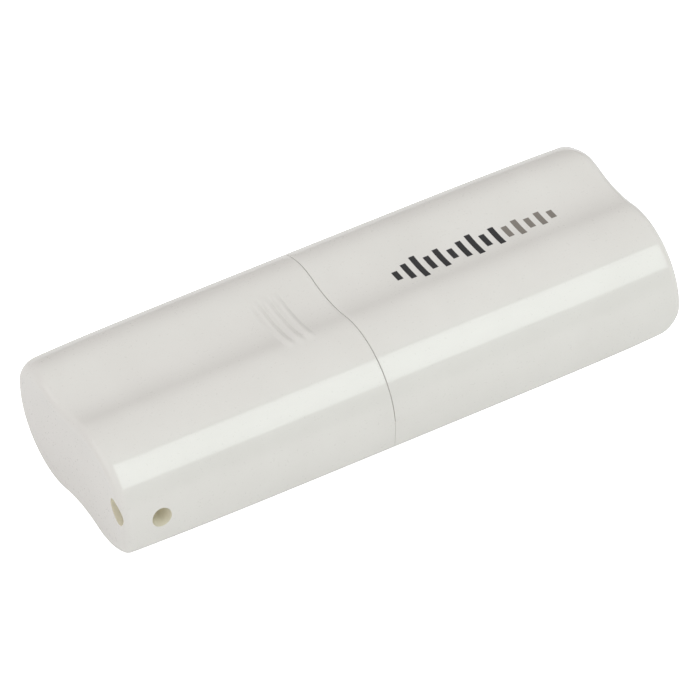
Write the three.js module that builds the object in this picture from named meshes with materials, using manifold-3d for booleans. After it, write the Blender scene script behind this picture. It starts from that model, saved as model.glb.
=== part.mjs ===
// A Bluetooth audio receiver in the form of a capped USB stick, in millimetres.
//
// +X runs along the stick, from the closed end of the cap to the audio jack, +Z is up, and the
// origin is at the centre of the closed stick. The sizes below that end in _X count from the seam
// between the cap and the body instead, and the last group in this file moves the seam into place.

import * as THREE from "three";
import { mergeVertices } from "three/addons/utils/BufferGeometryUtils.js";
import Module from "manifold-3d";

// Overall form. The cross-section is a wave: a tall crown and a low lobe joined by a shallow
// valley on the top, and the same turned half a turn on the bottom.
const CAP_LENGTH = 38;
const BODY_LENGTH = 42;
const HEIGHT = 14.42;
const CROWN_RADIUS = 9.65;
const CROWN_OFFSET = 3.87;
const LOBE_RADIUS = 8.48;
const LOBE_OFFSET = 8.47;
const SIDE_RADIUS = 27.7;
const CORNER_RADIUS = 1.25;
const SHARPEST_CORNER = 0.3;
const VALLEY_RADIUS = 16.1;
const BARREL = 0.024; // share of its width and height that the section loses at either end
const END_FILLET = 1.15;
// How many points each arc of the outline gets.
const ARC_POINTS = { valley: 6, crown: 11, side: 3, corner: 4, lobe: 7 };

// Both ends are rounded off further where the section is widest, at its two lobe corners: the jack
// end at both of them, and the cap's end at the top one alone.
const CORNER_DIRECTION = THREE.MathUtils.degToRad(62); // of the top corner, up from +Y
const JACK_TOP_CORNER_RADIUS = 1.4;
const JACK_LOW_CORNER_RADIUS = 3.1;
const CAP_CORNER_RADIUS = 2.2;
const CORNER_LENGTH = 8; // the stretch of the stick over which a rounded corner dies out

// Walls and gaps.
const WALL = 1.4;
const SEAM_GAP = 0.12;
const PARTING_Z = -1.4;
const PARTING_GAP = 0.06;
const COLLAR_LENGTH = 5;
const COLLAR_WALL = 1.2;
const COLLAR_CLEARANCE = 0.12;
const LIP_THICKNESS = 0.8;
const LIP_HEIGHT = 1.1;
const OVERRUN = 1; // how far a cutting solid runs past the face that it cuts

// The lanyard tunnel through the cap's corner, and the grip ribs by the seam.
const TUNNEL_RADIUS = 1.33;
const TUNNEL_MOUTH_HALF_WIDTH = 0.95;
const TUNNEL_MOUTH_HALF_LENGTH = 1.8;
const TUNNEL_MOUTH_TILT = 37; // degrees that the mouth's length leans from upright towards +Y
const TUNNEL_END_Y = -11.25;
const TUNNEL_END_Z = 0.35;
const TUNNEL_SIDE_X = -32.8;
const TUNNEL_SIDE_Z = -1.45;
const TUNNEL_BLOCK_X = -29.6;
const TUNNEL_BLOCK_Y = -8;
const RIB_COUNT = 3;
const RIB_PITCH = 1.45;
const RIB_FIRST_X = -5.6;
const RIB_Y = 1.7;
const RIB_HALF_LENGTH = 5;
const RIB_HALF_WIDTH = 0.55;
const RIB_HEIGHT = 0.3;

// The USB plug.
const PLUG_TIP_X = -17;
const PLUG_REAR_X = 1.75;
const PLUG_WIDTH = 12;
const PLUG_HEIGHT = 4.5;
const PLUG_SHEET = 0.3;
const PLUG_CORNER = 0.6;
const PLUG_WINDOW_GAP = 0.2;
const LATCH_HOLE_X = -11.8;
const LATCH_HOLE_Y = 3.25;
const LATCH_HOLE_LENGTH = 2.2;
const LATCH_HOLE_WIDTH = 2.5;
const EAR_LENGTH = 3;
const TONGUE_WIDTH = 11.1;
const TONGUE_BOTTOM = -1.9;
const CONTACT_WIDTH = 1;
const CONTACT_SHEET = 0.15;
const OUTER_CONTACT_Y = 3.5;
const INNER_CONTACT_Y = 1;
const OUTER_CONTACT_X = -15.8;
const INNER_CONTACT_X = -14.8;
const CONTACT_FOOT_LENGTH = 1.4;

// The circuit board.
const BOARD_START_X = 2;
const BOARD_END_X = BODY_LENGTH - 2.2;
const BOARD_NEAR_Y = -10.4;
const BOARD_FAR_Y = 9.4;
const BOARD_NECK_END_X = 5.4;
const BOARD_NECK_HALF_WIDTH = 5.3;
const BOARD_TOP = -0.6;
const BOARD_THICKNESS = 1;
const BOARD_CORNER = 1;
const POST_RADIUS = 1.3;
const PIN_RADIUS = 0.7;
const PIN_HOLE_RADIUS = 0.9;
const POST_PLACES = [
  [8, -8.2],
  [8, 7.4],
  [25, -9],
  [27, 7.6],
];

// The 3.5 mm audio jack, which sits in a notch of the board with its axis in the parting plane.
const JACK_Y = -4;
const JACK_BORE_RADIUS = 1.8;
const JACK_WIDTH = 6;
const JACK_HEIGHT = 5;
const JACK_FRONT_X = BODY_LENGTH - 2;
const JACK_LENGTH = 11.6;
const JACK_CORNER = 0.4;
const JACK_NOTCH_GAP = 0.2;
const BUSHING_RADIUS = 2.9;
const BUSHING_CHAMFER = 0.25;
const BUSHING_RECESS = 0.15;
const BUSHING_GAP = 0.1;
const JACK_TIP_DEPTH = 9.5;
const JACK_RING_DEPTH = 6.2;
const JACK_SLEEVE_DEPTH = 2.6;
const JACK_CONTACT_SHEET = 0.2;
const JACK_CONTACT_WIDTH = 1.2;
const JACK_CONTACT_HALF_LENGTH = 1.45;
const JACK_CONTACT_NOSE = 0.35; // how far a nose reaches into the bore
const JACK_CONTACT_FOOT_REACH = 1.2;
const JACK_POCKET_HALF_LENGTH = 1.7;

// The status light.
const LIGHT_Y = 4;
const LIGHT_Z = -0.1;
const LIGHT_PIPE_RADIUS = 0.9;
const LIGHT_PIPE_FLANGE_RADIUS = 1.25;
const LIGHT_PIPE_FLANGE = 0.45;
const LIGHT_PIPE_GAP = 0.05;

const COLOUR = {
  pearl: 0xdedcd6,
  steel: 0xc4c6c8,
  gold: 0xd8b25a,
  ivory: 0xe9e6dc,
  board: 0x1f5a36,
  black: 0x1c1c1e,
  tan: 0x9c8a70,
  tantalum: 0xc98a2c,
  ceramic: 0xe8e8e4,
  clear: 0xf4f6f8,
};

const wasm = await Module();
wasm.setup();

const X_AXIS = new THREE.Vector3(1, 0, 0);
const Y_AXIS = new THREE.Vector3(0, 1, 0);
const Z_AXIS = new THREE.Vector3(0, 0, 1);
// Stands a shape drawn in Y and Z up and extrudes it along +X.
const ALONG_X = new THREE.Matrix4().makeBasis(Y_AXIS, Z_AXIS, X_AXIS);
// Stands a shape drawn in X and Z up and extrudes it along -Y.
const ALONG_Y = new THREE.Matrix4().makeBasis(X_AXIS, Z_AXIS, Y_AXIS.clone().negate());

// Solids from geometries and back.

function solidOf(geometry) {
  const bare = geometry.clone();
  bare.deleteAttribute("normal");
  bare.deleteAttribute("uv");
  const merged = mergeVertices(bare, 1e-4);
  const mesh = new wasm.Mesh({
    numProp: 3,
    vertProperties: new Float32Array(merged.attributes.position.array),
    triVerts: new Uint32Array(merged.index.array),
  });
  return new wasm.Manifold(mesh);
}

function geometryOf(solid) {
  const mesh = solid.getMesh();
  const geometry = new THREE.BufferGeometry();
  geometry.setAttribute("position", new THREE.BufferAttribute(mesh.vertProperties, 3));
  geometry.setIndex(new THREE.BufferAttribute(mesh.triVerts, 1));
  const faceted = geometry.toNonIndexed();
  faceted.computeVertexNormals();
  return faceted;
}

function joined(solids) {
  return solids.reduce((all, next) => all.add(next));
}

// Simple solids, each given by where it lies.

function box(xRange, yRange, zRange) {
  const geometry = new THREE.BoxGeometry(
    xRange[1] - xRange[0],
    yRange[1] - yRange[0],
    zRange[1] - zRange[0],
  );
  geometry.translate(
    (xRange[0] + xRange[1]) / 2,
    (yRange[0] + yRange[1]) / 2,
    (zRange[0] + zRange[1]) / 2,
  );
  return solidOf(geometry);
}

function boxOnBoard(x, y, length, width, height, lift = 0) {
  return box(
    [x - length / 2, x + length / 2],
    [y - width / 2, y + width / 2],
    [BOARD_TOP + lift, BOARD_TOP + lift + height],
  );
}

function rodAlongX(xRange, y, z, radius, facets = 24) {
  const length = xRange[1] - xRange[0];
  const geometry = new THREE.CylinderGeometry(radius, radius, length, facets);
  geometry.rotateZ(-Math.PI / 2);
  geometry.translate(xRange[0] + length / 2, y, z);
  return solidOf(geometry);
}

function rodAlongY(x, yRange, z, radius, facets = 24) {
  const length = yRange[1] - yRange[0];
  const geometry = new THREE.CylinderGeometry(radius, radius, length, facets);
  geometry.translate(x, yRange[0] + length / 2, z);
  return solidOf(geometry);
}

function rodAlongZ(x, y, zRange, radius, facets = 24) {
  const length = zRange[1] - zRange[0];
  const geometry = new THREE.CylinderGeometry(radius, radius, length, facets);
  geometry.rotateX(Math.PI / 2);
  geometry.translate(x, y, zRange[0] + length / 2);
  return solidOf(geometry);
}

function ball(x, y, z, radius) {
  const geometry = new THREE.SphereGeometry(radius, 24, 12);
  geometry.translate(x, y, z);
  return solidOf(geometry);
}

function extrudedAlongX(shape, start, end, curveSegments = 4) {
  const geometry = new THREE.ExtrudeGeometry(shape, {
    depth: end - start,
    bevelEnabled: false,
    curveSegments,
  });
  geometry.applyMatrix4(ALONG_X);
  geometry.translate(start, 0, 0);
  return solidOf(geometry);
}

function rounded(width, height, radius) {
  const shape = new THREE.Shape();
  const w = width / 2 - radius;
  const h = height / 2 - radius;
  shape.absarc(w, h, radius, 0, Math.PI / 2);
  shape.absarc(-w, h, radius, Math.PI / 2, Math.PI);
  shape.absarc(-w, -h, radius, Math.PI, 1.5 * Math.PI);
  shape.absarc(w, -h, radius, 1.5 * Math.PI, 2 * Math.PI);
  shape.closePath();
  return shape;
}

// The wave-shaped cross-section, built of tangent arcs.

// The centre that lies at given distances from two other centres, on the chosen side.
function centreAt(from, fromDistance, to, toDistance, side) {
  const apart = from.distanceTo(to);
  const along = (fromDistance ** 2 - toDistance ** 2 + apart ** 2) / (2 * apart);
  const across = Math.sqrt(fromDistance ** 2 - along ** 2);
  const direction = to.clone().sub(from).normalize();
  const normal = new THREE.Vector2(-direction.y, direction.x);
  return from
    .clone()
    .addScaledVector(direction, along)
    .addScaledVector(normal, side * across);
}

function angleFrom(centre, point) {
  return Math.atan2(point.y - centre.y, point.x - centre.x);
}

// Points on an arc, without its last point, which is the next arc's first.
function arcPoints(centre, radius, start, end, counterClockwise, count) {
  const turn = 2 * Math.PI;
  let sweep = (end - start) % turn;
  if (counterClockwise && sweep < 0) sweep += turn;
  if (!counterClockwise && sweep > 0) sweep -= turn;
  const points = [];
  for (let i = 0; i < count; i++) {
    const angle = start + (sweep * i) / count;
    points.push(
      new THREE.Vector2(
        centre.x + radius * Math.cos(angle),
        centre.y + radius * Math.sin(angle),
      ),
    );
  }
  return points;
}

// The whole outline, moved in by inset, counterclockwise, with x as the row's Y and y as its Z.
function section(inset) {
  const crown = new THREE.Vector2(-CROWN_OFFSET, HEIGHT / 2 - CROWN_RADIUS);
  const lobe = new THREE.Vector2(-LOBE_OFFSET, LOBE_RADIUS - HEIGHT / 2);
  const farLobe = lobe.clone().negate();
  const side = new THREE.Vector2(SIDE_RADIUS - CROWN_OFFSET - CROWN_RADIUS, crown.y);
  const crownRadius = CROWN_RADIUS - inset;
  const lobeRadius = LOBE_RADIUS - inset;
  const sideRadius = SIDE_RADIUS - inset;
  const valleyRadius = VALLEY_RADIUS + inset;
  const cornerRadius = Math.max(CORNER_RADIUS - inset, SHARPEST_CORNER);
  const corner = centreAt(side, sideRadius - cornerRadius, lobe, lobeRadius - cornerRadius, 1);
  const valley = centreAt(
    farLobe,
    valleyRadius + lobeRadius,
    crown,
    valleyRadius + crownRadius,
    -1,
  );
  const opposite = Math.PI;
  const valleyFromLobe = angleFrom(valley, farLobe);
  const valleyFromCrown = angleFrom(valley, crown);
  const sideEnd = angleFrom(side, corner);
  const cornerEnd = angleFrom(lobe, corner);
  const points = ARC_POINTS;
  const half = [
    ...arcPoints(valley, valleyRadius, valleyFromLobe, valleyFromCrown, false, points.valley),
    ...arcPoints(crown, crownRadius, valleyFromCrown + opposite, opposite, true, points.crown),
    ...arcPoints(side, sideRadius, opposite, sideEnd, true, points.side),
    ...arcPoints(corner, cornerRadius, sideEnd, cornerEnd, true, points.corner),
    ...arcPoints(lobe, lobeRadius, cornerEnd, valleyFromLobe, true, points.lobe),
  ];
  return [...half, ...half.map((point) => point.clone().negate())];
}

// The stick is straight in its middle and draws in towards both ends.
function barrelScale(x) {
  const middle = (BODY_LENGTH - CAP_LENGTH) / 2;
  const reach = (BODY_LENGTH + CAP_LENGTH) / 2;
  return 1 - BARREL * ((x - middle) / reach) ** 4;
}

// How far out a point of an outline lies towards the top lobe corner.
function cornerReach(point) {
  return point.x * Math.cos(CORNER_DIRECTION) + point.y * Math.sin(CORNER_DIRECTION);
}

const WIDEST_REACH = Math.max(...section(0).map(cornerReach));

// How far a rounded corner draws back a point that has the given reach.
function drawnBack(reach, radius) {
  const into = Math.max(0, reach - (WIDEST_REACH - radius));
  return radius - Math.sqrt(radius ** 2 - Math.min(into, radius) ** 2);
}

// Where a point of the outline at x comes to lie along the stick once the corners are rounded.
function roundedX(x, point) {
  const intoJackEnd = (x - BODY_LENGTH + CORNER_LENGTH) / CORNER_LENGTH;
  const intoCapEnd = (CORNER_LENGTH - CAP_LENGTH - x) / CORNER_LENGTH;
  const jackShare = THREE.MathUtils.clamp(intoJackEnd, 0, 1);
  const capShare = THREE.MathUtils.clamp(intoCapEnd, 0, 1);
  const reach = cornerReach(point);
  return (
    x -
    jackShare * drawnBack(reach, JACK_TOP_CORNER_RADIUS) -
    jackShare * drawnBack(-reach, JACK_LOW_CORNER_RADIUS) +
    capShare * drawnBack(reach, CAP_CORNER_RADIUS)
  );
}

// A solid skinned over outlines at stations [x, inset], each scaled to the barrel form.
function lofted(stations) {
  const positions = [];
  for (const [x, inset] of stations) {
    const scale = barrelScale(x);
    for (const point of section(inset)) {
      positions.push(roundedX(x, point), point.x * scale, point.y * scale);
    }
  }
  const ring = section(0).length;
  const indices = [];
  for (let s = 0; s + 1 < stations.length; s++) {
    for (let i = 0; i < ring; i++) {
      const next = (i + 1) % ring;
      const a = s * ring + i;
      const b = s * ring + next;
      indices.push(a, b, b + ring, a, b + ring, a + ring);
    }
  }
  const last = (stations.length - 1) * ring;
  const startFace = THREE.ShapeUtils.triangulateShape(section(stations[0][1]), []);
  const endFace = THREE.ShapeUtils.triangulateShape(section(stations.at(-1)[1]), []);
  for (const [a, b, c] of startFace) indices.push(a, c, b);
  for (const [a, b, c] of endFace) indices.push(last + a, last + b, last + c);
  const geometry = new THREE.BufferGeometry();
  geometry.setAttribute("position", new THREE.Float32BufferAttribute(positions, 3));
  geometry.setIndex(indices);
  return solidOf(geometry);
}

// Stations of constant inset from one end to the other, close enough to follow the barrel.
function plainStations(start, end, inset, count = 4) {
  const stations = [];
  for (let i = 0; i < count; i++) {
    stations.push([start + ((end - start) * i) / (count - 1), inset]);
  }
  return stations;
}

// Stations of an end, from its flat middle outwards over the rounded corners and then along the
// quarter-round edge; direction is the way in along the stick.
function endStations(end, cornerRadius, direction) {
  const flatSteps = 3;
  const edgeSteps = 4;
  const stations = [];
  for (let i = 0; i < flatSteps; i++) {
    stations.push([end, THREE.MathUtils.lerp(cornerRadius, END_FILLET, i / flatSteps)]);
  }
  for (let i = 0; i < edgeSteps; i++) {
    const angle = ((Math.PI / 2) * i) / edgeSteps;
    const depth = END_FILLET * (1 - Math.cos(angle));
    stations.push([end + direction * depth, END_FILLET * (1 - Math.sin(angle))]);
  }
  return stations;
}

// The height of the top of the section at a given Y, found on its outline.
function topAt(y) {
  const outline = section(0);
  for (let i = 0; i < outline.length; i++) {
    const a = outline[i];
    const b = outline[(i + 1) % outline.length];
    const spans = a.x >= y && b.x < y;
    if (spans) return a.y + ((b.y - a.y) * (y - a.x)) / (b.x - a.x);
  }
  return HEIGHT / 2;
}

// The cap.

// A passage from an oval mouth in the end face round the corner to a round mouth in the side.
function lanyardTunnel() {
  const end = -CAP_LENGTH - OVERRUN;
  const side = -CROWN_OFFSET - CROWN_RADIUS - OVERRUN;
  const mouth = rodAlongX([end, TUNNEL_SIDE_X], 0, 0, 1)
    .scale([1, TUNNEL_MOUTH_HALF_WIDTH, TUNNEL_MOUTH_HALF_LENGTH])
    .rotate([-TUNNEL_MOUTH_TILT, 0, 0])
    .translate([0, TUNNEL_END_Y, TUNNEL_END_Z]);
  return joined([
    mouth,
    ball(TUNNEL_SIDE_X, TUNNEL_END_Y, TUNNEL_END_Z, TUNNEL_RADIUS),
    rodAlongZ(TUNNEL_SIDE_X, TUNNEL_END_Y, [TUNNEL_SIDE_Z, TUNNEL_END_Z], TUNNEL_RADIUS),
    ball(TUNNEL_SIDE_X, TUNNEL_END_Y, TUNNEL_SIDE_Z, TUNNEL_RADIUS),
    rodAlongY(TUNNEL_SIDE_X, [side, TUNNEL_END_Y], TUNNEL_SIDE_Z, TUNNEL_RADIUS),
  ]);
}

// A grip rib is a long low ellipsoid laid across the valley, so it fades out at both ends.
function gripRib(x) {
  const geometry = new THREE.SphereGeometry(1, 16, 12);
  geometry.rotateX(Math.PI / 2);
  geometry.scale(RIB_HALF_WIDTH, RIB_HALF_LENGTH, 2 * RIB_HEIGHT);
  geometry.translate(x, RIB_Y, topAt(RIB_Y) * barrelScale(x) - RIB_HEIGHT);
  return solidOf(geometry);
}

function cap() {
  const outer = lofted([
    ...endStations(-CAP_LENGTH, CAP_CORNER_RADIUS, 1),
    ...plainStations(-CAP_LENGTH + END_FILLET, 0, 0),
  ]);
  const cavityEnd = -CAP_LENGTH + WALL;
  const cavity = lofted([
    [cavityEnd, CAP_CORNER_RADIUS],
    ...plainStations(cavityEnd, OVERRUN, WALL),
  ]);
  const block = box(
    [-CAP_LENGTH, TUNNEL_BLOCK_X],
    [-CROWN_OFFSET - CROWN_RADIUS, TUNNEL_BLOCK_Y],
    [-HEIGHT / 2, HEIGHT / 2],
  );
  const ribs = [];
  for (let i = 0; i < RIB_COUNT; i++) ribs.push(gripRib(RIB_FIRST_X - i * RIB_PITCH));
  return joined([outer, ...ribs])
    .subtract(cavity.subtract(block))
    .subtract(lanyardTunnel());
}

// The body's two shells.

function bodyHousing() {
  const outer = lofted([
    ...plainStations(SEAM_GAP, BODY_LENGTH - END_FILLET, 0),
    ...endStations(BODY_LENGTH, JACK_LOW_CORNER_RADIUS, -1).reverse(),
  ]);
  const cavityEnd = BODY_LENGTH - WALL;
  const cavity = lofted([
    ...plainStations(SEAM_GAP + WALL, cavityEnd, WALL),
    [cavityEnd, JACK_LOW_CORNER_RADIUS],
  ]);
  const collarInset = WALL + COLLAR_CLEARANCE;
  const collar = lofted(plainStations(-COLLAR_LENGTH, SEAM_GAP + WALL / 2, collarInset, 2));
  const collarHollow = lofted(
    plainStations(
      -COLLAR_LENGTH + COLLAR_WALL,
      SEAM_GAP + WALL + OVERRUN / 2,
      collarInset + COLLAR_WALL,
      2,
    ),
  );
  const plugWindow = extrudedAlongX(
    rounded(PLUG_WIDTH + 2 * PLUG_WINDOW_GAP, PLUG_HEIGHT + 2 * PLUG_WINDOW_GAP, PLUG_CORNER),
    -COLLAR_LENGTH - OVERRUN,
    0,
  );
  const jackHole = rodAlongX(
    [BODY_LENGTH - 2 * WALL, BODY_LENGTH + OVERRUN],
    JACK_Y,
    PARTING_Z,
    BUSHING_RADIUS + BUSHING_GAP,
    32,
  );
  const lightHole = rodAlongX(
    [BODY_LENGTH - 2 * WALL, BODY_LENGTH + OVERRUN],
    LIGHT_Y,
    LIGHT_Z,
    LIGHT_PIPE_RADIUS + LIGHT_PIPE_GAP,
  );
  return outer
    .add(collar)
    .subtract(cavity)
    .subtract(collarHollow)
    .subtract(plugWindow)
    .subtract(jackHole)
    .subtract(lightHole);
}

// Everything between two heights, wide enough to hold the whole stick.
function layer(zRange) {
  const reach = CAP_LENGTH + BODY_LENGTH;
  return box([-reach, reach], [-reach, reach], zRange);
}

function upperShell() {
  const half = bodyHousing().intersect(layer([PARTING_Z + PARTING_GAP / 2, HEIGHT]));
  const outside = lofted(plainStations(SEAM_GAP, BODY_LENGTH - END_FILLET, WALL / 2, 2));
  const posts = POST_PLACES.map(([x, y]) =>
    rodAlongZ(x, y, [BOARD_TOP, HEIGHT], POST_RADIUS, 16).intersect(outside),
  );
  return joined([half, ...posts]);
}

function lowerShell() {
  const half = bodyHousing().intersect(layer([-HEIGHT, PARTING_Z - PARTING_GAP / 2]));
  const outside = lofted(plainStations(SEAM_GAP, BODY_LENGTH - END_FILLET, WALL / 2, 2));
  const boardBottom = BOARD_TOP - BOARD_THICKNESS;
  const posts = POST_PLACES.map(([x, y]) =>
    rodAlongZ(x, y, [-HEIGHT, boardBottom], POST_RADIUS, 16).intersect(outside),
  );
  const pins = POST_PLACES.map(([x, y]) =>
    rodAlongZ(x, y, [boardBottom - OVERRUN, BOARD_TOP - PARTING_GAP], PIN_RADIUS, 12),
  );
  return joined([half, lockingLip(), ...posts, ...pins]);
}

// A low wall inside the parting line, which rises into the upper shell and lines the two up.
function lockingLip() {
  const start = SEAM_GAP + WALL + 2;
  const end = BODY_LENGTH - END_FILLET - WALL;
  const outerFace = lofted(plainStations(start, end, WALL + COLLAR_CLEARANCE));
  const innerFace = lofted(
    plainStations(start - OVERRUN, end + OVERRUN, WALL + COLLAR_CLEARANCE + LIP_THICKNESS),
  );
  const foot = lofted(plainStations(start, end, WALL / 2)).subtract(innerFace);
  const rise = outerFace
    .subtract(innerFace)
    .intersect(layer([PARTING_Z - 2 * LIP_HEIGHT, PARTING_Z + LIP_HEIGHT]));
  const footing = foot.intersect(layer([PARTING_Z - 2 * LIP_HEIGHT, PARTING_Z - LIP_HEIGHT]));
  return rise.add(footing);
}

// The USB plug.

function plugShell() {
  const sleeve = extrudedAlongX(
    rounded(PLUG_WIDTH, PLUG_HEIGHT, PLUG_CORNER),
    PLUG_TIP_X,
    PLUG_REAR_X,
  );
  const hollow = extrudedAlongX(
    rounded(
      PLUG_WIDTH - 2 * PLUG_SHEET,
      PLUG_HEIGHT - 2 * PLUG_SHEET,
      PLUG_CORNER - PLUG_SHEET,
    ),
    PLUG_TIP_X - OVERRUN,
    PLUG_REAR_X + OVERRUN,
  );
  const ears = [-1, 1].map((side) => {
    const outside = (side * PLUG_WIDTH) / 2;
    const inside = outside - side * PLUG_SHEET;
    return box(
      [PLUG_REAR_X - OVERRUN, PLUG_REAR_X + EAR_LENGTH],
      [Math.min(outside, inside), Math.max(outside, inside)],
      [-PLUG_HEIGHT / 2 + PLUG_CORNER, PLUG_HEIGHT / 2 - PLUG_CORNER],
    );
  });
  const latchHoles = [-LATCH_HOLE_Y, LATCH_HOLE_Y].map((y) =>
    box(
      [LATCH_HOLE_X - LATCH_HOLE_LENGTH / 2, LATCH_HOLE_X + LATCH_HOLE_LENGTH / 2],
      [y - LATCH_HOLE_WIDTH / 2, y + LATCH_HOLE_WIDTH / 2],
      [-PLUG_HEIGHT, PLUG_HEIGHT],
    ),
  );
  return joined([sleeve.subtract(hollow), ...ears]).subtract(joined(latchHoles));
}

function plugTongue() {
  return box(
    [PLUG_TIP_X + PLUG_SHEET, PLUG_REAR_X],
    [-TONGUE_WIDTH / 2, TONGUE_WIDTH / 2],
    [TONGUE_BOTTOM, 0],
  );
}

// A flat strip on the tongue that steps down behind it and ends in a foot on the board.
function plugContact(y, start) {
  const stepStart = BOARD_START_X + CONTACT_SHEET;
  const stepEnd = stepStart - BOARD_TOP;
  const footEnd = stepEnd + CONTACT_FOOT_LENGTH;
  const shape = new THREE.Shape([
    new THREE.Vector2(start, 0),
    new THREE.Vector2(stepStart, 0),
    new THREE.Vector2(stepEnd, BOARD_TOP),
    new THREE.Vector2(footEnd, BOARD_TOP),
    new THREE.Vector2(footEnd, BOARD_TOP + CONTACT_SHEET),
    new THREE.Vector2(stepEnd + CONTACT_SHEET / 2, BOARD_TOP + CONTACT_SHEET),
    new THREE.Vector2(stepStart + CONTACT_SHEET / 2, CONTACT_SHEET),
    new THREE.Vector2(start, CONTACT_SHEET),
  ]);
  const geometry = new THREE.ExtrudeGeometry(shape, {
    depth: CONTACT_WIDTH,
    bevelEnabled: false,
  });
  geometry.applyMatrix4(ALONG_Y);
  geometry.translate(0, y + CONTACT_WIDTH / 2, 0);
  return solidOf(geometry);
}

// The circuit board and what is soldered to it.

function circuitBoard() {
  const neck = BOARD_NECK_HALF_WIDTH;
  const notchLow = JACK_Y - JACK_WIDTH / 2 - JACK_NOTCH_GAP;
  const notchHigh = JACK_Y + JACK_WIDTH / 2 + JACK_NOTCH_GAP;
  const notchEnd = JACK_FRONT_X - JACK_LENGTH - JACK_NOTCH_GAP;
  const farEnd = BOARD_END_X - BOARD_CORNER;
  const shape = new THREE.Shape();
  shape.moveTo(BOARD_START_X, -neck);
  shape.lineTo(BOARD_NECK_END_X, -neck);
  shape.lineTo(BOARD_NECK_END_X, BOARD_NEAR_Y);
  shape.lineTo(farEnd, BOARD_NEAR_Y);
  shape.absarc(farEnd, BOARD_NEAR_Y + BOARD_CORNER, BOARD_CORNER, -Math.PI / 2, 0);
  shape.lineTo(BOARD_END_X, notchLow);
  shape.lineTo(notchEnd, notchLow);
  shape.lineTo(notchEnd, notchHigh);
  shape.lineTo(BOARD_END_X, notchHigh);
  shape.absarc(farEnd, BOARD_FAR_Y - BOARD_CORNER, BOARD_CORNER, 0, Math.PI / 2);
  shape.lineTo(BOARD_NECK_END_X, BOARD_FAR_Y);
  shape.lineTo(BOARD_NECK_END_X, neck);
  shape.lineTo(BOARD_START_X, neck);
  shape.closePath();
  for (const [x, y] of POST_PLACES) {
    const hole = new THREE.Path();
    hole.absarc(x, y, PIN_HOLE_RADIUS, 0, 2 * Math.PI, true);
    shape.holes.push(hole);
  }
  const geometry = new THREE.ExtrudeGeometry(shape, {
    depth: BOARD_THICKNESS,
    bevelEnabled: false,
    curveSegments: 5,
  });
  geometry.translate(0, 0, BOARD_TOP - BOARD_THICKNESS);
  return solidOf(geometry);
}

// A two-ended part: a body between two slightly fatter metal ends.
function endedChip(x, y, length, width, height, turned = false) {
  const endShare = 0.22;
  const endLength = length * endShare;
  const skin = 0.04;
  const place = (offset, l, w, h) =>
    turned
      ? boxOnBoard(x, y + offset, w, l, h)
      : boxOnBoard(x + offset, y, l, w, h);
  const endOffset = (length - endLength) / 2;
  return joined([
    place(0, length - endLength, width - 2 * skin, height - skin),
    place(-endOffset, endLength, width, height),
    place(endOffset, endLength, width, height),
  ]);
}

// A moulded package that stands on gull-wing leads along its two long sides.
function leadedChip(x, y, length, width, height, leadsPerSide, pitch) {
  const standOff = 0.1;
  const leadShare = 0.35;
  const leadWidth = pitch * leadShare;
  const leadReach = 0.9;
  const leadSheet = 0.15;
  const kneeHeight = height / 2;
  const parts = [boxOnBoard(x, y, length, width, height - standOff, standOff)];
  for (const side of [-1, 1]) {
    for (let i = 0; i < leadsPerSide; i++) {
      const leadX = x + (i - (leadsPerSide - 1) / 2) * pitch;
      const kneeY = y + side * (width / 2 + leadReach / 4);
      const footY = y + side * (width / 2 + leadReach / 2 + leadSheet);
      parts.push(boxOnBoard(leadX, kneeY, leadWidth, leadReach, leadSheet, kneeHeight));
      parts.push(
        boxOnBoard(
          leadX,
          kneeY + side * (leadReach / 2 - leadSheet / 2),
          leadWidth,
          leadSheet,
          kneeHeight + leadSheet,
        ),
      );
      parts.push(
        boxOnBoard(leadX, footY + side * (leadReach / 4), leadWidth, leadReach / 2, leadSheet),
      );
    }
  }
  return joined(parts);
}

function flatChip(x, y, side, height) {
  const chamfer = 0.08;
  const shape = rounded(side - 2 * chamfer, side - 2 * chamfer, chamfer);
  const geometry = new THREE.ExtrudeGeometry(shape, {
    depth: height - chamfer,
    bevelEnabled: true,
    bevelThickness: chamfer,
    bevelSize: chamfer,
    bevelSegments: 1,
    curveSegments: 1,
  });
  geometry.translate(x, y, BOARD_TOP);
  return solidOf(geometry).intersect(layer([BOARD_TOP, HEIGHT]));
}

// The audio jack.

function jackHousing() {
  const rear = JACK_FRONT_X - JACK_LENGTH;
  const shape = rounded(JACK_WIDTH, JACK_HEIGHT, JACK_CORNER);
  const bore = new THREE.Path();
  bore.absarc(0, 0, JACK_BORE_RADIUS, 0, 2 * Math.PI, true);
  shape.holes.push(bore);
  const geometry = new THREE.ExtrudeGeometry(shape, {
    depth: JACK_LENGTH,
    bevelEnabled: false,
    curveSegments: 10,
  });
  geometry.applyMatrix4(ALONG_X);
  geometry.translate(rear, JACK_Y, PARTING_Z);
  const pockets = jackContactPlaces().map(({ x, side }) => {
    const inner = JACK_Y;
    const outer = JACK_Y + side * JACK_WIDTH;
    return box(
      [x - JACK_POCKET_HALF_LENGTH, x + JACK_POCKET_HALF_LENGTH],
      [Math.min(inner, outer), Math.max(inner, outer)],
      [PARTING_Z - JACK_CONTACT_WIDTH, PARTING_Z + JACK_CONTACT_WIDTH],
    );
  });
  return solidOf(geometry).subtract(joined(pockets));
}

// Where each spring stands along the jack: the tip's is deepest and the sleeve's is outermost.
function jackContactPlaces() {
  return [
    { name: "jack_tip_contact", x: JACK_FRONT_X - JACK_TIP_DEPTH, side: 1 },
    { name: "jack_ring_contact", x: JACK_FRONT_X - JACK_RING_DEPTH, side: -1 },
    { name: "jack_sleeve_contact", x: JACK_FRONT_X - JACK_SLEEVE_DEPTH, side: 1 },
  ];
}

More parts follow.
